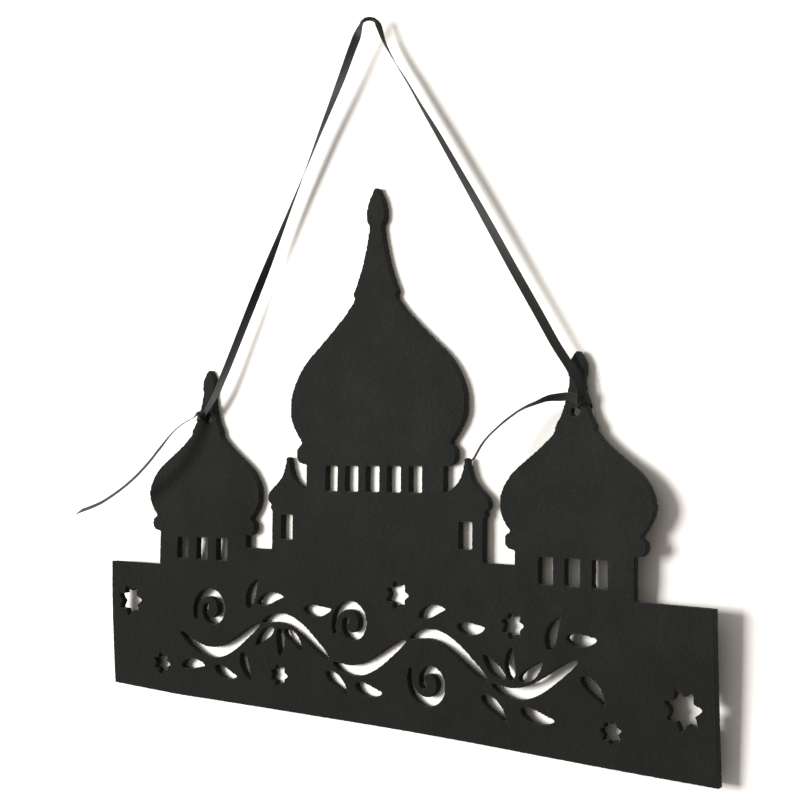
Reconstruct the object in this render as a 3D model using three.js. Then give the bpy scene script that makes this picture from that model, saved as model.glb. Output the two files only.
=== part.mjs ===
// Hanging skyline cut from black felt, on one narrow satin ribbon.
// Millimetres. Origin where the ribbon lies over the nail, +Z up, -Y to the room.
import * as THREE from 'three';

// felt sheet
const FELT_T = 3.0;
const HANG_H = 284.0;          // nail above the lower edge
const BASE_HALF = 150.0;
const BASE_H = 57.5;
const STEP_H = 67.0;           // floor of the two gaps between towers
const CURVE_STEPS = 10;

// side towers
const TOWER_X = 94.8;
const TOWER_HALF = 25.4;
const TOWER_TOP = 72.5;
const TOWER_TIP = 144.7;
const TOWER_DOME = 32.8;

// corner turrets of the middle block
const TURRET_X = 46.2;
const TURRET_HALF = 8.4;
const TURRET_TOP = 83.8;
const TURRET_TIP = 106.4;
const TURRET_DOME = 11.2;
const TURRET_FOOT = 8.8;       // where its inner side meets the drum

// middle block
const DRUM_HALF = 35.6;
const DRUM_TOP = 103.2;
const MAIN_TIP = 215.6;
const MAIN_DOME = 45.5;

// windows: width, height, lower edge; each is cut a hair higher than the last
const HAND_CUT = 0.03;
const DRUM_SLOT = { w: 6.4, h: 10.5, z: 92.4, pitch: 10.9, n: 5 };
const TURRET_SLOT = { w: 6.2, h: 10.5, z: 71.6, pitch: 0, n: 1 };
const TOWER_SLOT = { w: 6.2, h: 9.7, z: 60.8, pitch: 11.4, n: 3 };

// ribbon and its holes
const HOLE_R = 1.8;
const HOLE_Z = 123.0;
const GAP = 0.3;
const STRAND_R = 1.5;
const TAIL_R = 1.2;
const LOOP_R = 0.55;
const NAIL_R = 2.0;            // nail that the ribbon lies on
const SIDES = 8;
const KNOT = { x: 95.2, y: -3.6, z: 128.0, r: 1.9, tube: 0.72 };

// the cut-through pattern is drawn on a base 150 to each side, and grows with it
const FIT = BASE_HALF / 150;

// seven-pointed stars: x, height, radius, turn in degrees
const STAR_POINTS = 7;
const STAR_INNER = 0.6;
const STARS = [
  [-138.6, 39.7, 7.6, 5],
  [-119.0, 12.6, 5.4, 0],
  [-49.8, 14.5, 5.2, 0],
  [13.2, 52.3, 6.1, 0],
  [68.5, 45.0, 5.6, 3],
  [110.1, 12.4, 4.6, 17],
  [138.0, 23.5, 7.5, 7],
];

const rad = THREE.MathUtils.degToRad;
const v2 = (x, y) => new THREE.Vector2(x, y);
const v3 = (x, y, z) => new THREE.Vector3(x, y, z);

// curves of each side, across in shares of the widest half and up in shares of the height
const TOWER_SIDE = [
  [0.921, 0, 0.921, 0.0471], [0.921, 0.0803, 0.838, 0.0928], [0.912, 0.1316, 1, 0.1773, 1, 0.2355],
  [1, 0.3199, 0.848, 0.3934, 0.686, 0.4432], [0.537, 0.4903, 0.341, 0.5512, 0.253, 0.6053],
  [0.262, 0.6247, 0.238, 0.6413], [0.165, 0.6828, 0.11, 0.7687, 0.085, 0.8657],
  [0.116, 0.8823, 0.107, 0.9127], [0.104, 0.9432, 0.067, 0.9709, 0.03, 0.9889], [0.018, 1, 0, 1],
];
const TURRET_SIDE = [
  [0.866, 0.0088, 0.839, 0.0708], [0.786, 0.1106], [1.009, 0.1372, 1, 0.2434],
  [0.973, 0.3673, 0.571, 0.4602, 0.357, 0.5841], [0.196, 0.6814, 0.116, 0.8053, 0.089, 0.9558],
  [0.08, 0.9956, 0, 1],
];
const TURRET_INNER = [
  [-0.08, 0.9956, -0.089, 0.9558], [-0.116, 0.8053, -0.196, 0.6814, -0.357, 0.5841],
];
const DOME_SIDE = [
  [0.91, 0, 0.91, 0.0374], [0.91, 0.0676, 0.842, 0.0783], [0.914, 0.1157, 1, 0.1548, 1, 0.2073],
  [1, 0.2918, 0.866, 0.3648, 0.725, 0.4119], [0.556, 0.4689, 0.319, 0.548, 0.235, 0.5996],
  [0.257, 0.621, 0.226, 0.6423], [0.176, 0.6788, 0.092, 0.7767, 0.068, 0.8639],
  [0.108, 0.8772, 0.105, 0.9048], [0.105, 0.9368, 0.064, 0.9671, 0.031, 0.9893], [0.02, 1, 0, 1],
];

function side(startX, startZ, half, base, tall, curves) {
  const p = new THREE.Path();
  const at = (c) => c.map((v, i) => (i % 2 ? base + v * tall : v * half));
  p.moveTo(startX, startZ);
  for (const c of curves) {
    if (c.length === 2) p.lineTo(...at(c));
    else if (c.length === 4) p.quadraticCurveTo(...at(c));
    else p.bezierCurveTo(...at(c));
  }
  return p.getPoints(CURVE_STEPS);
}

const towerSide = () => side(TOWER_HALF, TOWER_TOP, TOWER_DOME, TOWER_TOP, TOWER_TIP - TOWER_TOP, TOWER_SIDE);
const domeSide = () => side(DRUM_HALF, DRUM_TOP, MAIN_DOME, DRUM_TOP, MAIN_TIP - DRUM_TOP, DOME_SIDE);
const turretTall = TURRET_TIP - TURRET_TOP;
const turretOuter = () => side(TURRET_HALF, TURRET_TOP, TURRET_DOME, TURRET_TOP, turretTall, TURRET_SIDE);

// the inner side runs into the drum
function turretInner() {
  const pts = side(0, TURRET_TIP, TURRET_DOME, TURRET_TOP, turretTall, TURRET_INNER);
  const foot = v2(DRUM_HALF - TURRET_X, TURRET_TOP + TURRET_FOOT);
  const last = pts[pts.length - 1];
  const bend = new THREE.CubicBezierCurve(last, v2(last.x * 1.5, last.y - 2.3 * FIT),
    v2(foot.x * 0.81, foot.y + 1.2 * FIT), foot);
  return pts.concat(bend.getPoints(CURVE_STEPS).slice(1));
}

// right half of the outline, from the middle of the lower edge up to the tip
function halfOutline() {
  const pts = [v2(BASE_HALF, 0), v2(BASE_HALF, BASE_H), v2(TOWER_X + TOWER_HALF, BASE_H)];
  const side = towerSide();
  for (const q of side) pts.push(v2(TOWER_X + q.x, q.y));
  for (const q of side.slice(0, -1).reverse()) pts.push(v2(TOWER_X - q.x, q.y));
  pts.push(v2(TOWER_X - TOWER_HALF, STEP_H), v2(TURRET_X + TURRET_HALF, STEP_H));
  for (const q of turretOuter()) pts.push(v2(TURRET_X + q.x, q.y));
  for (const q of turretInner().slice(1)) pts.push(v2(TURRET_X + q.x, q.y));
  for (const q of domeSide()) pts.push(q);
  return pts;
}

function slotHoles(s, cx) {
  const holes = [];
  for (let i = 0; i < s.n; i++) {
    const x = cx + (i - (s.n - 1) / 2) * s.pitch;
    const z = s.z + HAND_CUT * (2 * i + (cx > 0 ? 1 : 0));
    const h = new THREE.Path();
    h.setFromPoints([v2(x - s.w / 2, z), v2(x + s.w / 2, z),
      v2(x + s.w / 2, z + s.h), v2(x - s.w / 2, z + s.h)]);
    holes.push(h);
  }
  return holes;
}

function starHole([cx, cz, r, turn]) {
  const pts = [];
  for (let i = 0; i < 2 * STAR_POINTS; i++) {
    const a = rad(turn) + (i * Math.PI) / STAR_POINTS;
    const k = i % 2 ? r * STAR_INNER : r;
    pts.push(v2(cx + k * Math.cos(a), cz + k * Math.sin(a)));
  }
  return new THREE.Path(pts);
}

function roundHole(cx, cz, r, n) {
  const pts = [];
  for (let i = 0; i < n; i++) {
    const a = (i * 2 * Math.PI) / n;
    pts.push(v2(cx + r * Math.cos(a), cz + r * Math.sin(a)));
  }
  return new THREE.Path(pts);
}

// closed stroke of changing width round a centre line, its ends rounded
function stroke(centre, halfWidth) {
  const left = [];
  const right = [];
  const n = centre.length;
  const cap = (p, from, w, a) => {
    const d = p.clone().sub(from).normalize();
    return v2(p.x + w * (d.x * Math.cos(a) - d.y * Math.sin(a)), p.y + w * (d.x * Math.sin(a) + d.y * Math.cos(a)));
  };
  for (let i = 0; i < n; i++) {
    const a = centre[Math.max(i - 1, 0)];
    const b = centre[Math.min(i + 1, n - 1)];
    const d = b.clone().sub(a).normalize();
    const w = halfWidth(i / (n - 1));
    left.push(v2(centre[i].x - d.y * w, centre[i].y + d.x * w));
    right.push(v2(centre[i].x + d.y * w, centre[i].y - d.x * w));
  }
  const end = [1, 0, -1].map((k) => cap(centre[n - 1], centre[n - 2], halfWidth(1), k));
  const start = [1, 0, -1].map((k) => cap(centre[0], centre[1], halfWidth(0), k));
  return new THREE.Path(left.concat(end, right.reverse(), start));
}

// running vine: a waving stem in separate arcs, a curl or a spray of leaves in each bay
// first crest, wave length, middle height, swing, half the bridge, half the stroke
const VINE = [-49.8, 78.9, 29.5, 9.0, 1.6, 2.3];
const VINE_STEPS = 16;
const VINE_ENDS = [-108, -60.0, -20.6, 18.8, 58.3, 97.8];
const [VINE_CREST, VINE_WAVE, VINE_MID, VINE_AMP, VINE_BRIDGE, VINE_HALF] = VINE;
const vineZ = (x) => VINE_MID + VINE_AMP * Math.cos((2 * Math.PI * (x - VINE_CREST)) / VINE_WAVE);

function stemHole(x0, x1) {
  const pts = [];
  for (let i = 0; i <= VINE_STEPS; i++) {
    const x = x0 + VINE_BRIDGE + ((x1 - x0 - 2 * VINE_BRIDGE) * i) / VINE_STEPS;
    pts.push(v2(x, vineZ(x)));
  }
  return stroke(pts, (u) => 0.7 + (VINE_HALF - 0.7) * Math.pow(Math.sin(Math.PI * u), 0.6));
}

// curl with a round bud at its eye: outer radius, eye radius, turns, bud
const CURL = [9.6, 2.9, 1.15, 0.8];
const CURL_STEPS = 40;
function curlHole(cx, cz, start, dir) {
  const pts = [];
  const [outer, eye, turns, bud] = CURL;
  for (let i = 0; i <= CURL_STEPS; i++) {
    const k = i / CURL_STEPS;
    const a = rad(start) + dir * 2 * Math.PI * turns * k;
    const r = outer + (eye - outer) * Math.pow(k, 0.9);
    pts.push(v2(cx + r * Math.cos(a), cz + r * Math.sin(a)));
  }
  return stroke(pts, (u) => 0.6 + 1.3 * Math.sin(Math.PI * Math.min(1, 0.05 + 1.05 * u))
    + bud * Math.exp(-Math.pow((1 - u) / 0.12, 2)));
}

// pointed leaf with one fuller side
function leafHole(x, z, len, wide, turn) {
  const p = new THREE.Path();
  p.moveTo(0, 0);
  p.bezierCurveTo(len * 0.15, wide, len * 0.65, wide * 1.1, len, 0);
  p.bezierCurveTo(len * 0.7, wide * 0.1, len * 0.25, -wide * 0.75, 0, 0);
  const c = Math.cos(rad(turn));
  const s = Math.sin(rad(turn));
  const pts = p.getPoints(8).slice(0, -1);
  return new THREE.Path(pts.map((q) => v2(x + q.x * c - q.y * s, z + q.x * s + q.y * c)));
}

// x, height, length, width (its sign is the fuller side), turn in degrees
const LEAVES = [
  [-67.5, 41.0, 15, 4.6, 66],
  [-62.5, 43.5, 16, 4.4, 14],
  [-36.5, 43.5, 16, -4.4, 4],
  [-49.8, 34.6, 13, 4.0, -90],
  [-52.6, 34.0, 14, -4.0, -140],
  [-47.0, 34.0, 14, 4.0, -40],
  [-71.0, 22.8, 14, -4.2, -64],
  [-107.0, 13.0, 15, 4.2, 4],
  [-87.0, 15.0, 14, -4.4, -14],
  [-24.0, 18.5, 15, 4.4, -34],
  [-8.0, 15.5, 15, -4.4, -8],
  [24.0, 44.5, 14, 4.4, 16],
  [42.5, 43.0, 14, -4.4, 2],
  [68.5, 25.0, 13, 4.0, 90],
  [65.6, 25.6, 14, 4.0, 141],
  [71.4, 25.6, 14, -4.0, 39],
  [54.0, 18.0, 15, 4.4, -36],
  [72.0, 15.5, 16, -4.4, -8],
  [84.5, 37.5, 14, 4.4, 66],
  [92.0, 43.0, 14, -4.2, 4],
  [98.0, 30.0, 14, 4.2, -44],
];
const CURLS = [
  [-89.3, 39.0, 204, -1],
  [-10.4, 39.0, 204, -1],
  [29.0, 20.0, 156, 1],
];

function panelShape() {
  const half = halfOutline();
  const left = half.slice(0, -1).reverse().map((q) => v2(-q.x, q.y));
  const shape = new THREE.Shape(half.concat(left));
  for (const h of slotHoles(DRUM_SLOT, 0)) shape.holes.push(h);
  for (const side of [-1, 1]) {
    for (const h of slotHoles(TURRET_SLOT, side * TURRET_X)) shape.holes.push(h);
    for (const h of slotHoles(TOWER_SLOT, side * TOWER_X)) shape.holes.push(h);
    shape.holes.push(roundHole(side * TOWER_X, HOLE_Z, HOLE_R, 20));
  }
  const pattern = STARS.map(starHole);
  VINE_ENDS.slice(1).forEach((x, i) => pattern.push(stemHole(VINE_ENDS[i], x)));
  for (const c of CURLS) pattern.push(curlHole(...c));
  for (const l of LEAVES) pattern.push(leafHole(...l));
  for (const h of pattern) shape.holes.push(new THREE.Path(h.getPoints().map((q) => q.multiplyScalar(FIT))));
  return shape;
}

const FELT = { color: 0x2b2c2a, roughness: 0.96, metalness: 0.0 };
const SATIN = { color: 0x161615, roughness: 0.42, metalness: 0.0 };

const part = new THREE.Group();
function add(name, geometry, look) {
  const mesh = new THREE.Mesh(geometry, new THREE.MeshStandardMaterial(look));
  mesh.name = name;
  part.add(mesh);
  return mesh;
}

const sheet = new THREE.ExtrudeGeometry(panelShape(), { depth: FELT_T, bevelEnabled: false, curveSegments: 1 });
sheet.rotateX(Math.PI / 2);
sheet.translate(0, FELT_T / 2, -HANG_H);
add('felt_panel', sheet, FELT);

// ribbon: round stretches along one route, a knot above each hole
function tube(name, points, r, steps) {
  const section = [];
  for (let i = 0; i < SIDES; i++) {
    const a = (2 * Math.PI * (i + 0.5)) / SIDES;
    section.push(v2(r * Math.cos(a), r * Math.sin(a)));
  }
  const curve = new THREE.CatmullRomCurve3(points, false, 'centripetal');
  const g = new THREE.ExtrudeGeometry(new THREE.Shape(section), { steps, extrudePath: curve });
  return add(name, g, SATIN);
}

const knotZ = KNOT.z - HANG_H;
const bendR = NAIL_R + STRAND_R;
const reach = Math.hypot(KNOT.x, knotZ + NAIL_R);
const fall = Math.atan2(KNOT.x, -knotZ - NAIL_R) - Math.asin(bendR / reach);
const knotR = 1.5 * KNOT.r + KNOT.tube;

const bend = [];
for (let i = 0; i <= 8; i++) {
  const a = (Math.PI / 2 - fall) * (i / 4 - 1);
  bend.push(v3(bendR * Math.sin(a), 0, bendR * Math.cos(a) - NAIL_R));
}
tube('ribbon_top_bend', bend, STRAND_R, 8);

for (const [side, s] of [['left', -1], ['right', 1]]) {
  const down = v3(s * Math.sin(fall), 0, -Math.cos(fall));
  const knot = v3(s * KNOT.x, KNOT.y, knotZ);
  const top = v3(s * bendR * Math.cos(fall), 0, bendR * Math.sin(fall) - NAIL_R);
  tube('ribbon_' + side + '_strand',
    [top.addScaledVector(down, GAP), knot.clone().addScaledVector(down, -knotR - GAP)], STRAND_R, 3);
  const k = new THREE.TorusKnotGeometry(KNOT.r, KNOT.tube, 60, SIDES, 2, 3);
  k.rotateZ(Math.PI / 2 + s * fall);
  k.rotateX(Math.PI / 2);
  k.translate(knot.x, knot.y, knot.z);
  add(side + '_knot', k, SATIN);
}

// route of each loop, as offsets from the knot on the right side
const LOOP = [[0.2, 0.0, -4.5], [-0.4, 1.0, -5.0], [-0.4, 3.6, -5.0], [-0.4, 6.4, -5.1],
  [2.6, 7.1, -5.3], [5.6, 5.8, -5.4], [6.4, 3.2, -5.2], [5.4, 0.4, -4.4], [3.0, -0.3, -2.9]];
for (const [side, s] of [['left', -1], ['right', 1]]) {
  const route = LOOP.map(([x, y, z]) => v3(s * (KNOT.x + x), KNOT.y + y, knotZ + z));
  tube(side + '_loop', route, LOOP_R, 20);
}

const LEFT_TAIL = [[-99.9, -4.2, 127.0], [-104.5, -5.2, 122.6], [-108.7, -6.0, 118.0], [-116.9, -6.6, 111.3],
  [-125.2, -7.2, 103.7], [-133.8, -7.8, 97.5], [-144.2, -8.4, 91.2], [-156.7, -8.9, 85.3],
  [-169.5, -9.3, 80.7], [-174.7, -9.5, 79.7]];
const RIGHT_TAIL = [[91.6, -3.6, 128.6], [87.2, -3.8, 128.6], [83.8, -4.0, 128.2], [80.4, -4.0, 127.3],
  [73.6, -3.6, 125.0], [66.6, -2.4, 121.3], [59.6, -0.6, 116.0], [54.2, 1.4, 110.3], [50.2, 3.0, 106.2]];
const hung = ([x, y, z]) => v3(x, y, z - HANG_H);
tube('left_tail', LEFT_TAIL.map(hung), TAIL_R, 16);
tube('right_tail', RIGHT_TAIL.map(hung), TAIL_R, 12);

export default part;
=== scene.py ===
import math
import random
import bpy
import bmesh
from mathutils import Matrix, Vector, noise


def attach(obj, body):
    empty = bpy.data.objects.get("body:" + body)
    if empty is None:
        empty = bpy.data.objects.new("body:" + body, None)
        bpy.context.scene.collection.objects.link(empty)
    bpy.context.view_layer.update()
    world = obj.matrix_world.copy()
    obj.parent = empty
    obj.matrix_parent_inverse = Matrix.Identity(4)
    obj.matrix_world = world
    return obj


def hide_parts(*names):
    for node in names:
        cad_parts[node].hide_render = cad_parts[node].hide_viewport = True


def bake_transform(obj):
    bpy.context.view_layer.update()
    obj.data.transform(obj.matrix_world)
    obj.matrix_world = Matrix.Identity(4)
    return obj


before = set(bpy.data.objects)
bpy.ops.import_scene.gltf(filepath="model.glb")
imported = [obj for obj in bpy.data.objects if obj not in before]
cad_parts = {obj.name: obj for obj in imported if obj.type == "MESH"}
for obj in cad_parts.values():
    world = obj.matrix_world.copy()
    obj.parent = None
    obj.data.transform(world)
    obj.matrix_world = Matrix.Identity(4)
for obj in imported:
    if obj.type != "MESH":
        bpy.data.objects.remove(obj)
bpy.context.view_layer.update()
MM = 0.001
random.seed(11)

# camera: the place of the photographer's lens, in mm, and the way it was held
EYE = Vector((340.65, -419.56, -179.56))
VIEW_RIGHT = Vector((0.78712243, 0.61670983, 0.01035676))
VIEW_UP = Vector((0.02060735, -0.04307609, 0.99885924))
VIEW_BACK = Vector((0.61645244, -0.78601109, -0.04661491))
cam_data = bpy.data.cameras.new("camera")
cam_data.sensor_width = 36
cam_data.lens = 60.41
cam_data.clip_start, cam_data.clip_end = 0.01, 20
camera = bpy.data.objects.new("camera", cam_data)
bpy.context.scene.collection.objects.link(camera)
turn = Matrix((VIEW_RIGHT, VIEW_UP, VIEW_BACK)).transposed().to_4x4()
camera.matrix_world = Matrix.Translation(EYE * MM) @ turn
bpy.context.scene.camera = camera


# colours
def linear(hex_code):
    """The linear colour that an sRGB hex code stands for."""
    c = [int(hex_code[i:i + 2], 16) / 255 for i in (0, 2, 4)]
    return [x / 12.92 if x <= 0.04045 else ((x + 0.055) / 1.055) ** 2.4 for x in c] + [1.0]


def node(tree, kind, settings=None, **links):
    """Adds a node with its settings. Each link gives the output that feeds an input, by its name or as _0."""
    n = tree.nodes.new(kind)
    for key, value in (settings or {}).items():
        if isinstance(key, int) or key in n.inputs:
            n.inputs[key].default_value = value
        else:
            setattr(n, key, value)
    for key, out in links.items():
        name = int(key[1:]) if key[0] == "_" and key[1:].isdigit() else key.replace("_", " ")
        tree.links.new(out, n.inputs[name])
    return n


def material(name):
    m = bpy.data.materials.new(name)
    m.use_nodes = True
    tree = m.node_tree
    tree.nodes.clear()
    return m, tree, tree.nodes.new("ShaderNodeOutputMaterial")


def every(mm):
    """The scale of a pattern whose features are so many millimetres across, in metres of object space."""
    return 1 / (mm * MM)


def ramp(tree, share, low, high, start=0.0, end=1.0):
    """Runs from one colour to another while the share that feeds it goes from start to end."""
    ramped = node(tree, "ShaderNodeValToRGB", None, Fac=share)
    for stop, place, colour in zip(ramped.color_ramp.elements, (start, end), (low, high)):
        stop.position, stop.color = place, colour
    return ramped.outputs[0]


def remap(tree, value, start, end, low=0.0, high=1.0):
    """Runs from low to high while the value that feeds it goes from start to end."""
    span = {"From Min": start, "From Max": end, "To Min": low, "To Max": high}
    return node(tree, "ShaderNodeMapRange", span, Value=value).outputs[0]


def scaled(tree, colour, share):
    """A colour made lighter or darker by a share that changes from place to place."""
    return node(tree, "ShaderNodeVectorMath", {"operation": "SCALE"}, _0=colour, Scale=share).outputs[0]


# needle-punched polyester felt: dull matted fibres, black with a few paler hairs and soft lighter patches,
# with
#  painted light that lightens it towards the domes and the right end and lifts the shade on its cut edges.
#  Its fibres are 0.02 mm thick, too fine to show, so they are drawn 1 mm across.
def needled_felt():
    m, t, out = material("needled_felt")
    where = node(t, "ShaderNodeTexCoord").outputs["Object"]
    mat = node(t, "ShaderNodeTexNoise", {"Scale": every(1.1), "Detail": 5.0, "Roughness": 0.7},
               Vector=where).outputs[0]
    clumps = node(t, "ShaderNodeTexNoise", {"Scale": every(18), "Detail": 4.0, "Roughness": 0.6},
                  Vector=where).outputs[0]
    drawn_out = {"Scale": (every(3.8), every(1.1), every(0.67)), "Rotation": (0, 0.5, 0)}
    stretch = node(t, "ShaderNodeMapping", drawn_out, Vector=where)
    hairs = node(t, "ShaderNodeTexNoise", {"Scale": 1.0, "Detail": 2.0, "Distortion": 1.2},
                 Vector=stretch.outputs[0]).outputs[0]
    tone = ramp(t, clumps, linear("1E201D"), linear("242724"), 0.35, 0.7)
    fine = ramp(t, mat, (0.72, 0.72, 0.72, 1), (1.22, 1.22, 1.22, 1), 0.3, 0.75)
    base = node(t, "ShaderNodeMix", {"data_type": "RGBA", "blend_type": "MULTIPLY", 0: 1.0},
                _6=tone, _7=fine).outputs[2]
    # painted light: the colour is made lighter towards the domes and the right end, standing in for brighter
    # light there
    spot = node(t, "ShaderNodeSeparateXYZ", None, Vector=where)
    painted_light_up = scaled(t, base, remap(t, spot.outputs["Z"], -0.26, -0.17, 0.69, 1.19))
    painted_light_up_right = scaled(t, painted_light_up, remap(t, spot.outputs["X"], -0.15, 0.15, 0.74, 1.25))
    # a cut edge doesn't face front or back; it is made paler, partly for its looser fibres and partly as
    # painted light that lifts the shade on the edge
    facing = node(t, "ShaderNodeVectorMath", {"operation": "ABSOLUTE"},
                  _0=node(t, "ShaderNodeTexCoord").outputs["Normal"])
    front = node(t, "ShaderNodeSeparateXYZ", None, Vector=facing.outputs[0]).outputs["Y"]
    paler_edges_painted_light = scaled(t, painted_light_up_right, remap(t, front, 0.35, 0.85, 2.4, 1.0))
    flecked = node(t, "ShaderNodeMix", {"data_type": "RGBA", 7: linear("3A3C3A")},
                   _0=remap(t, hairs, 0.64, 0.78, 0.0, 0.3), _6=paler_edges_painted_light)
    bump = node(t, "ShaderNodeBump", {"Strength": 0.55, "Distance": 0.0003}, Height=mat)
    swell = node(t, "ShaderNodeBump", {"Strength": 0.35, "Distance": 0.0012}, Height=clumps,
                 Normal=bump.outputs[0])
    finish = {"Roughness": 0.96, "Sheen Weight": 0.12, "Sheen Roughness": 0.6, "Specular IOR Level": 0.2}
    felt = node(t, "ShaderNodeBsdfPrincipled", finish, Base_Color=flecked.outputs[2],
                Normal=swell.outputs[0])
    t.links.new(felt.outputs[0], out.inputs[0])
    return m


# double-faced polyester satin: fine crosswise ribs and a soft sheen along the band. The weave itself, at
# 0.1 mm, is too fine to show, so the ribs stand 0.35 mm apart. The band's own coordinates are millimetres.
def satin_ribbon():
    m, t, out = material("polyester_satin")
    where = node(t, "ShaderNodeUVMap", {"uv_map": "band"}).outputs[0]
    weave = {"wave_type": "BANDS", "bands_direction": "X", "Scale": math.pi / (10 * 0.35),
             "Distortion": 0.6, "Detail": 1.0}
    ribs = node(t, "ShaderNodeTexWave", weave, Vector=where)
    soft = node(t, "ShaderNodeTexNoise", {"Scale": 1 / 2.9, "Detail": 3.0}, Vector=where)
    tone = ramp(t, soft.outputs[0], linear("222221"), linear("2E2E2D"))
    bump = node(t, "ShaderNodeBump", {"Strength": 0.25, "Distance": 0.0001}, Height=ribs.outputs[0])
    finish = {"Roughness": 0.55, "Specular IOR Level": 0.4, "Sheen Weight": 0.27, "Sheen Roughness": 0.4}
    satin = node(t, "ShaderNodeBsdfPrincipled", finish, Base_Color=tone, Normal=bump.outputs[0])
    t.links.new(satin.outputs[0], out.inputs[0])
    return m


# matt emulsion on plaster: white, with the faintest roller stipple, 2.4 mm across. Seen straight by the
# camera it is brighter than the light that it throws back on the felt, and it keeps the shadows.
def white_wall():
    m, t, out = material("white_emulsion")
    where = node(t, "ShaderNodeTexCoord").outputs["Object"]
    roller = node(t, "ShaderNodeTexNoise", {"Scale": every(2.4), "Detail": 3.0}, Vector=where)
    bump = node(t, "ShaderNodeBump", {"Strength": 0.06, "Distance": 0.0002}, Height=roller.outputs[0])
    ray = node(t, "ShaderNodeLightPath")
    plain = node(t, "ShaderNodeBsdfDiffuse", {"Color": (0.6, 0.59, 0.57, 1)}, Normal=bump.outputs[0])
    seen = node(t, "ShaderNodeBsdfDiffuse", {"Color": (1.56, 1.53, 1.47, 1)}, Normal=bump.outputs[0])
    paint = node(t, "ShaderNodeMixShader", None, _0=ray.outputs["Is Camera Ray"], _1=plain.outputs[0],
                 _2=seen.outputs[0])
    clear = node(t, "ShaderNodeBsdfTransparent")
    side = node(t, "ShaderNodeNewGeometry")
    one_sided = node(t, "ShaderNodeMixShader", None, _0=side.outputs["Backfacing"],
                     _1=paint.outputs[0], _2=clear.outputs[0])
    t.links.new(one_sided.outputs[0], out.inputs[0])
    return m


FELT = needled_felt()
SATIN = satin_ribbon()


def new_object(name, verts, faces, look, smooth=True):
    mesh = bpy.data.meshes.new(name)
    mesh.from_pydata([tuple(Vector(v) * MM) for v in verts], [], faces)
    mesh.materials.append(look)
    mesh.polygons.foreach_set("use_smooth", [smooth] * len(mesh.polygons))
    mesh.update()
    obj = bpy.data.objects.new(name, mesh)
    bpy.context.scene.collection.objects.link(obj)
    return obj


# ribbon
RIBBON_W = 3.4
RIBBON_T = 0.17


def smooth_through(points, step):
    """A smooth curve through the points, with each point's face direction carried along."""
    out = []
    n = len(points)
    for i in range(n - 1):
        p = [points[max(i - 1, 0)], points[i], points[i + 1], points[min(i + 2, n - 1)]]
        a, b = p[1][0], p[2][0]
        count = max(1, round((b - a).length / step))
        for j in range(count):
            u = j / count
            m0 = (b - p[0][0]) * 0.5
            m1 = (p[3][0] - a) * 0.5
            span = (b - a).length
            for m in (m0, m1):
                if m.length > span:
                    m *= span / m.length
            h = (2 * u ** 3 - 3 * u ** 2 + 1, u ** 3 - 2 * u ** 2 + u,
                 -2 * u ** 3 + 3 * u ** 2, u ** 3 - u ** 2)
            out.append((a * h[0] + m0 * h[1] + b * h[2] + m1 * h[3], p[1][1].lerp(p[2][1], u)))
    out.append(points[-1])
    return out


# the front half of the ribbon's section, as shares: thin, with a slightly thicker woven edge on each side
HALF_SECTION = [(-0.5, 0.0), (-0.49, 0.5), (-0.44, 0.62), (-0.36, 0.42),
                (0.36, 0.42), (0.44, 0.62), (0.49, 0.5)]


def band(name, points, step, shape=None, slant=0.0):
    """A flat ribbon along points of (place, face direction), mm. Shape gives shares of width, thickness."""
    line = smooth_through(points, step)
    section = HALF_SECTION + [(-x, -y) for x, y in HALF_SECTION]
    k = len(section)
    verts, uv_along = [], []
    run = 0.0
    for i, (p, n) in enumerate(line):
        t = (line[min(i + 1, len(line) - 1)][0] - line[max(i - 1, 0)][0]).normalized()
        n = (n - t * n.dot(t)).normalized()
        across = t.cross(n)
        if i:
            run += (p - line[i - 1][0]).length
        wide, thick = shape(i / (len(line) - 1), p) if shape else (1.0, 1.0)
        w = RIBBON_W * wide
        for x, y in section:
            lean = slant * x if i == len(line) - 1 else 0.0
            verts.append(p + across * (x * w) + n * (y * RIBBON_T * thick) + t * lean)
            uv_along.append((run, x * w))
    faces = [(i * k + j, i * k + (j + 1) % k, (i + 1) * k + (j + 1) % k, (i + 1) * k + j)
             for i in range(len(line) - 1) for j in range(k)]
    faces += [tuple(range(k - 1, -1, -1)), tuple((len(line) - 1) * k + j for j in range(k))]
    obj = new_object(name, verts, faces, SATIN)
    layer = obj.data.uv_layers.new(name="band")
    for loop in obj.data.loops:
        layer.data[loop.index].uv = uv_along[loop.vertex_index]
    return obj, [p for p, n in line]


def to_room(p, along, degrees):
    """The face direction that is turned by so many degrees from the viewer, about the run of the ribbon."""
    sight = EYE - p
    sight = (sight - along * sight.dot(along)).normalized()
    return sight * math.cos(math.radians(degrees)) + along.cross(sight) * math.sin(math.radians(degrees))


def strand(points):
    """Places down one side of the hanger, each with the turn of its flat face."""
    spots = [Vector(p[:3]) for p in points]
    places = []
    for i, p in enumerate(spots):
        along = (spots[min(i + 1, len(spots) - 1)] - spots[max(i - 1, 0)]).normalized()
        places.append((p, to_room(p, along, points[i][3])))
    return places


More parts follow.
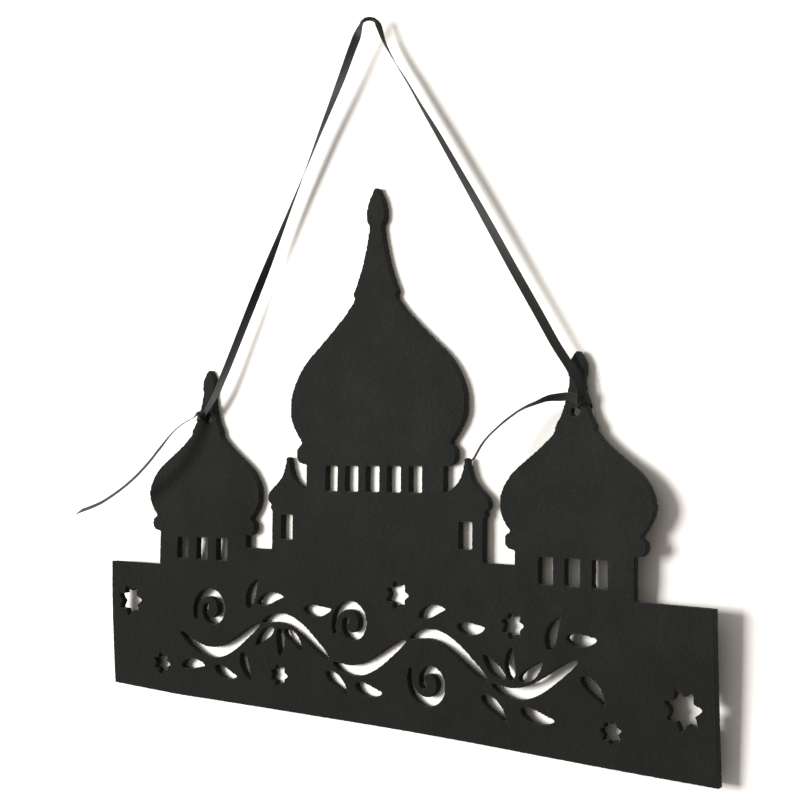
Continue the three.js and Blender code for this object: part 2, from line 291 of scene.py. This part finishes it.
LEFT_SIDE = [(-6.1, -8.6, -7.5, 12), (-9.4, -8.0, -12.6, 15), (-15.2, -7.1, -22.4, 29),
             (-21.5, -6.3, -32.5, 52), (-27.9, -5.6, -42.8, 69), (-34.0, -5.1, -53.3, 82),
             (-40.0, -4.8, -63.8, 97), (-45.9, -4.7, -74.4, 109), (-51.7, -4.8, -85.3, 127),
             (-57.5, -4.9, -96.2, 152), (-63.5, -5.0, -107.2, 173), (-69.4, -5.2, -118.3, 191),
             (-75.4, -5.4, -129.7, 198), (-80.7, -5.7, -139.9, 203), (-86.6, -5.8, -150.0, 217),
             (-91.9, -5.6, -156.5, 230), (-93.8, -5.5, -158.5, 236)]
RIGHT_SIDE = [(5.2, -4.5, -10.4, -74), (11.3, -4.5, -20.4, -90), (17.0, -4.5, -28.5, -99),
              (24.7, -4.6, -40.2, -109), (32.4, -4.6, -51.6, -123), (47.0, -4.8, -74.0, -140),
              (54.0, -4.8, -84.9, -150), (60.8, -4.9, -95.6, -159), (67.4, -5.0, -106.1, -168),
              (74.0, -5.0, -116.4, -177), (80.5, -5.1, -126.5, -180), (86.8, -5.2, -136.4, -186),
              (93.1, -5.3, -145.1, -192), (96.4, -5.4, -151.0, -205), (97.6, -5.3, -153.5, -216)]
OVER_NAIL = [((-3.5, -9.1, -3.3), -64, -2.4), ((-2.8, -8.9, -1.6), -48, -1.9),
             ((-1.8, -8.2, -0.7), -25, -1.4), ((-0.6, -7.2, -0.35), 0, -0.9), ((0.7, -6.1, -0.6), 25, -0.45),
             ((1.7, -5.3, -1.5), 48, -0.3), ((2.5, -4.9, -3.2), 62, -0.3)]
left_side = strand(LEFT_SIDE)
right_side = strand(RIGHT_SIDE)
over_nail = []
for place, degrees, forward in OVER_NAIL:
    a = math.radians(degrees)
    over_nail.append((Vector(place), Vector((math.sin(a), forward, math.cos(a))).normalized()))


def drawn_together(u, p):
    """The ribbon creases up where it bears on the nail: narrower and thicker."""
    near = math.exp(-((p - Vector((-0.5, -7.1, 0))).length / 3.6) ** 4)
    return 1 - 0.5 * near, 1 + 5 * near


hanger, hanger_line = band("hanging_ribbon", left_side[::-1] + over_nail + right_side, 1.2, drawn_together)

LEFT_TAIL = [(-94.9, -5.7, -159.3, 20), (-96.6, -6.0, -158.5, 40), (-97.8, -6.3, -158.8, 66),
             (-98.3, -7.0, -160.0, 82), (-98.6, -9.0, -161.2, 87), (-101.5, -11.4, -163.4, 86),
             (-104.0, -13.6, -166.2, 84), (-106.4, -15.3, -169.5, 80), (-108.8, -16.6, -173.0, 75),
             (-111.6, -17.6, -176.4, 74), (-114.8, -18.3, -180.0, 73), (-122.7, -18.9, -186.5, 72),
             (-132.2, -19.2, -192.5, 73), (-143.0, -19.4, -197.9, 71), (-149.0, -19.4, -200.2, 68),
             (-155.5, -19.4, -202.1, 67), (-162.0, -19.4, -203.8, 66)]
RIGHT_TAIL = [(97, -5.2, -156.1, -24), (94.1, -5.2, -155.6, -26), (91.4, -5.2, -155.3, -27),
              (88.1, -5.4, -155.5, -34), (85.5, -6.3, -155.7, -46), (83.2, -7.1, -156.3, -59),
              (81, -8, -157.3, -67), (78.6, -8.8, -158.2, -71), (76.3, -9.7, -159.3, -77),
              (74.1, -10.5, -160.6, -80), (72, -11.3, -162.2, -79), (70.1, -12.1, -163.7, -78),
              (68.3, -12.9, -165.4, -80), (66.6, -13.7, -167.1, -81), (64.9, -14.5, -168.9, -81),
              (63.3, -15.3, -170.9, -80), (61.9, -16, -173.1, -78), (60.9, -16.7, -175.3, -78),
              (60.3, -17.4, -177, -78), (59.5, -18, -178.5, -78)]
left_end, left_end_line = band("left_ribbon_end", strand(LEFT_TAIL), 1.5, slant=-2.2)
right_end, right_end_line = band("right_ribbon_end", strand(RIGHT_TAIL), 1.5, slant=1.6)


def knot(name, centre, size, lean, swing):
    """The outer turn of an overhand knot, tight over the crossing: it leans sideways and swings outward."""
    spun = Matrix.Rotation(lean, 3, "Y") @ Matrix.Rotation(swing, 3, "Z")
    places = []
    for i in range(41):
        a = math.radians(-60 + 10.5 * i)
        # it comes out from under the crossing, and its end tucks in again
        grow = 0.62 + 0.38 * min(1.0, i / 16) - 0.25 * max(0.0, (i - 30) / 10)
        p = Vector((0.9 * (i / 40 - 0.5), -math.cos(a) * size[0] * grow, math.sin(a) * size[1] * grow))
        n = Vector((0, -math.cos(a) / size[0], math.sin(a) / size[1]))
        places.append((Vector(centre) + spun @ p, (spun @ n).normalized()))
    return band(name, places, 0.5, lambda u, p: (0.80 + 0.05 * math.sin(11 * u), 1.6))[0]


def loop(name, points):
    """One turn through the hole and round the neck, with each place's outward direction."""
    places = [(Vector(p[:3]), Vector(p[3:]).normalized()) for p in points]
    return band(name, places, 0.5, lambda u, p: (0.66 + 0.3 * math.cos(math.pi * u) ** 2, 1.3))[0]


LEFT_LOOP = [(-96.8, -4.0, -159.7, 0.2, -1, 0), (-98.6, -4.0, -159.9, 0.45, -0.85, 0.1),
             (-100.2, -3.8, -160.2, -0.3, -0.9, 0.2), (-101.3, -2.8, -160.5, -0.9, -0.4, 0.3),
             (-101.6, -1.0, -160.8, -0.9, 0, 0.3), (-101.3, 0.6, -160.9, -0.7, 0.7, 0.2),
             (-100.1, 1.2, -160.7, 0, 1, 0), (-98.4, 1.1, -160.2, 0.2, 1, 0),
             (-97.0, 0.6, -159.9, 0.5, 0.6, -0.3), (-96.3, -0.5, -159.9, 0.7, 0, -0.7),
             (-96.3, -2.0, -159.9, 0.7, 0, -0.7), (-96.6, -3.2, -159.9, 0.6, -0.7, -0.3),
             (-97.2, -3.8, -160.2, 0.2, -1, 0)]
RIGHT_LOOP = [(96.8, -4.2, -155.2, 0.6, -0.8, 0), (97.6, -3.4, -155.4, 0.8, -0.6, 0.1),
              (98.05, -2.4, -155.9, 0.96, -0.2, 0.2), (98.25, -0.9, -156.8, 0.96, 0, 0.26),
              (98.25, 0.6, -157.5, 0.8, 0.6, 0.2), (97.6, 1.2, -158.2, 0.1, 1, 0),
              (96.2, 1.35, -158.9, 0, 1, 0), (94.9, 1.25, -159.3, -0.2, 0.9, -0.3),
              (94.1, 0.6, -159.5, -0.3, 0.4, -0.8), (93.8, -0.6, -159.5, -0.2, 0, -0.97),
              (93.7, -2.2, -159.45, -0.2, 0, -0.97), (93.5, -3.2, -159.0, 0, -0.8, -0.6),
              (93.3, -3.8, -158.0, 0.2, -1, 0), (93.7, -4.2, -157.1, 0.2, -1, 0),
              (94.8, -4.5, -156.5, 0.2, -1, 0)]
left_knot = knot("left_ribbon_knot", (-95.9, -5.2, -159.4), (0.9, 1.4), -0.15, 0.75)
right_knot = knot("right_ribbon_knot", (96.6, -4.1, -156.1), (0.8, 2.7), -0.1, 0.95)
left_wrap = loop("left_ribbon_loop", LEFT_LOOP)
right_wrap = loop("right_ribbon_loop", RIGHT_LOOP)


for piece in (hanger, right_end, left_knot, right_knot):
    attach(piece, "ribbon")
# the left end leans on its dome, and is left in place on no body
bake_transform(left_end)
# the loops are fast to the knots in front and to the sheet behind; they are left in place, on no body
for piece in (left_wrap, right_wrap):
    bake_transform(piece)
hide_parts("ribbon_top_bend", "ribbon_left_strand", "ribbon_right_strand")
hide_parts("left_tail")
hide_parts("right_tail")
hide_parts("left_knot")
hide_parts("right_knot")
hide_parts("left_loop")
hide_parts("right_loop")

# felt
HANG_H = 284.0
HALF_W = 150.0
BASE_TOP = 60.0
CURL = 6.5
GRAIN = 0.5


def curl_of(x, height):
    """How far the sheet's ends stand forward: most at the top of the base, less at its foot and spires."""
    if height < BASE_TOP:
        share = 1 - 0.508 * ((BASE_TOP - height) / BASE_TOP) ** 1.5
    else:
        share = max(0.0, 1 - ((height - BASE_TOP) / 85) ** 2)
    return -CURL * (x / HALF_W) ** 2 * share


def between(value, table):
    """Reads a table of (place, amount), smoothly, and level beyond its ends."""
    for (a, u), (b, w) in zip(table, table[1:]):
        if value < b:
            t = min(1.0, max(0.0, (value - a) / (b - a)))
            t = t * t * (3 - 2 * t)
            return u + (w - u) * t
    return table[-1][1]


def lean_of(x):
    """How far the hand-cut sheet has crept sideways."""
    return between(x, [(-150, -1.3), (-115, -1.1), (-70, -0.4), (0, -0.85), (45, -0.9), (85, -1.4),
                       (115, -1.3), (150, -0.75)])


def stretch_of(x, height):
    """How much longer the limp right half hangs: lower below 55 mm of height, and slightly higher above."""
    share = between(x, [(10, 0.0), (130, 0.02)])
    return share * (min(height, 72) - 55 + max(0.0, height - 72) * 0.3)


def bow_of(x, height):
    """How far the towers bulge forward between the base and their spires."""
    left = between(x, [(-125, 0.0), (-104, 1.0), (-84, 0.9), (-62, 0.0)])
    right = between(x, [(70, 0.0), (86, -0.2), (100, -0.2), (119, 1.0)])
    return (1.4 * left * between(height, [(58, 0.0), (70, 1.0), (88, 1.0), (116, 0.0)])
            + 1.3 * right * between(height, [(0, 0.1), (56, 0.2), (66, 1.0), (86, 0.9), (112, 0.0)]))


# the loops pull the holes out of place and wider, and the felt thinner: x, z, two shifts, widening, thinning
HOLES = [(-95.0, -161.0, 0.9, -0.8, 0.34, 0.32), (95.0, -161.0, 0.0, 0.0, 0.03, 0.1)]


def felt_sheet():
    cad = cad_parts["felt_panel"]
    mesh = cad.data.copy()
    mesh.transform(Matrix.Scale(1 / MM, 4))
    obj = bpy.data.objects.new("felt_sheet", mesh)
    bpy.context.scene.collection.objects.link(obj)
    remesh = obj.modifiers.new("even", "REMESH")
    remesh.mode = "VOXEL"
    remesh.voxel_size = GRAIN
    remesh.use_smooth_shade = True
    bpy.context.view_layer.update()
    done = bpy.data.meshes.new_from_object(obj.evaluated_get(bpy.context.evaluated_depsgraph_get()))
    obj.modifiers.clear()
    obj.data = done
    bm = bmesh.new()
    bm.from_mesh(done)
    for v in bm.verts:
        p = v.co.copy()
        height = p.z + HANG_H
        # the knife wandered a little, and the sheet isn't quite flat
        edge = 0.10 * noise.noise_vector(p * 0.9) + 0.05 * noise.noise_vector(p * 2.3)
        wave = 0.22 * noise.noise(Vector((p.x * 0.021, 3.0, p.z * 0.03)))
        v.co = p + edge + Vector((0, curl_of(p.x, height) + wave, 0))
        # the bulge comes forward along the line of sight, so the outline stays as photographed
        bow = bow_of(p.x, height)
        v.co.x += lean_of(p.x) + bow * (EYE.x - p.x) / -EYE.y
        v.co.y -= bow
        v.co.z += stretch_of(p.x, height)
        for x, z, dx, dz, wider, thinner in HOLES:
            pull = math.exp(-((p.x - x) ** 2 + (p.z - z) ** 2) / 13)
            v.co.x += pull * (dx + wider * (p.x - x))
            v.co.y -= pull * thinner * p.y
            v.co.z += pull * dz
        # the lower left corner is cut a little high
        corner = max(0.0, (-110 - p.x) / 40) * max(0.0, 1 - height / 50)
        v.co.z += 1.2 * corner
    bmesh.ops.scale(bm, vec=(MM, MM, MM), verts=bm.verts)
    bm.to_mesh(done)
    bm.free()
    done.materials.clear()
    done.materials.append(FELT)
    done.polygons.foreach_set("use_smooth", [True] * len(done.polygons))
    return obj


felt = felt_sheet()
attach(felt, "panel")
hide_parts("felt_panel")


# loose fibres: stray hairs at the cut edges and a few lying on the face
EDGE_HAIRS = 2600
FACE_HAIRS = 900


def stray_fibres():
    verts, faces = [], []
    rings = 4
    rim = [v for v in felt.data.vertices if abs(v.normal.y) < 0.6]
    face = [v for v in felt.data.vertices if v.normal.y < -0.9]
    chosen = [(v, True) for v in random.sample(rim, min(len(rim), EDGE_HAIRS))]
    chosen += [(v, False) for v in random.sample(face, min(len(face), FACE_HAIRS))]
    for v, at_edge in chosen:
        out = v.normal.copy()
        wander = Vector([random.uniform(-1, 1) for _ in range(3)])
        run = (out * 0.9 + wander * 0.8 if at_edge else wander - out * wander.dot(out)).normalized()
        size = random.uniform(0.25, 0.75) if at_edge else random.uniform(0.8, 2.2)
        bend = Vector([random.uniform(-1, 1) for _ in range(3)]) * 0.35
        thick = 0.025 if at_edge else 0.03
        p = v.co / MM + out * (0.0 if at_edge else 0.04)
        first = len(verts)
        for i in range(rings):
            u = i / (rings - 1)
            q = p + run * size * u + bend * size * u * u
            if not at_edge:
                q -= out * (q - p).dot(out)
            s = run.orthogonal().normalized()
            r = run.cross(s)
            for a in (0, 2.1, 4.2):
                verts.append(q + (s * math.cos(a) + r * math.sin(a)) * thick * (1 - 0.6 * u))
        for i in range(rings - 1):
            for j in range(3):
                k = first + i * 3
                faces.append((k + j, k + (j + 1) % 3, k + 3 + (j + 1) % 3, k + 3 + j))
        faces.append((first + 2, first + 1, first))
        faces.append(tuple(first + (rings - 1) * 3 + j for j in range(3)))
    obj = new_object("felt_fibres", verts, faces, FELT)
    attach(obj, "panel")
    return obj


fibres = stray_fibres()


# wall, which the sheet hangs against: close behind the sheet's back, and turned very slightly
def wall_point(x, z):
    return (x, 1.64 + 0.0078 * x - 0.0012 * z, z)


wall_corners = [wall_point(x, z) for x, z in ((-2600, -1500), (2600, -1500), (2600, 1500), (-2600, 1500))]
wall = new_object("wall", wall_corners, [(0, 1, 2, 3)], white_wall(), smooth=False)


# light
def lamp(name, place, power, size, colour):
    data = bpy.data.lights.new(name, "AREA")
    data.shape = "RECTANGLE"
    data.energy, data.size, data.size_y, data.color = power, size[0], size[1], colour
    obj = bpy.data.objects.new(name, data)
    bpy.context.scene.collection.objects.link(obj)
    obj.location = place
    obj.rotation_euler = (math.pi / 2, 0, 0)
    return obj


lamp("window", (-2.1, -3.0, 0.08), 128, (2.0, 1.4), (1.0, 0.995, 0.98))
world = bpy.data.worlds.new("room")
bpy.context.scene.world = world
world.use_nodes = True
wt = world.node_tree
wt.nodes.clear()
ray = node(wt, "ShaderNodeLightPath")
# the room is brighter on the window side and above
tilted = node(wt, "ShaderNodeMapping", {"Rotation": (0, -0.6, 0)},
              Vector=node(wt, "ShaderNodeTexCoord").outputs["Generated"])
way = node(wt, "ShaderNodeSeparateXYZ", None, Vector=tilted.outputs[0])
share = remap(wt, way.outputs["X"], -1.0, 1.0)
day = node(wt, "ShaderNodeBackground", {"Color": (1.0, 0.99, 0.96, 1), "Strength": 0.42})
dim = node(wt, "ShaderNodeBackground", {"Color": (1.0, 0.80, 0.58, 1), "Strength": 0.08})
fill = node(wt, "ShaderNodeMixShader", None, _0=share, _1=day.outputs[0], _2=dim.outputs[0])
white = node(wt, "ShaderNodeBackground", {"Color": (1, 1, 1, 1), "Strength": 1.0})
both = node(wt, "ShaderNodeMixShader", None, _0=ray.outputs["Is Camera Ray"], _1=fill.outputs[0],
            _2=white.outputs[0])
wt.links.new(both.outputs[0], node(wt, "ShaderNodeOutputWorld").inputs[0])

bpy.context.scene.view_settings.view_transform = "Standard"
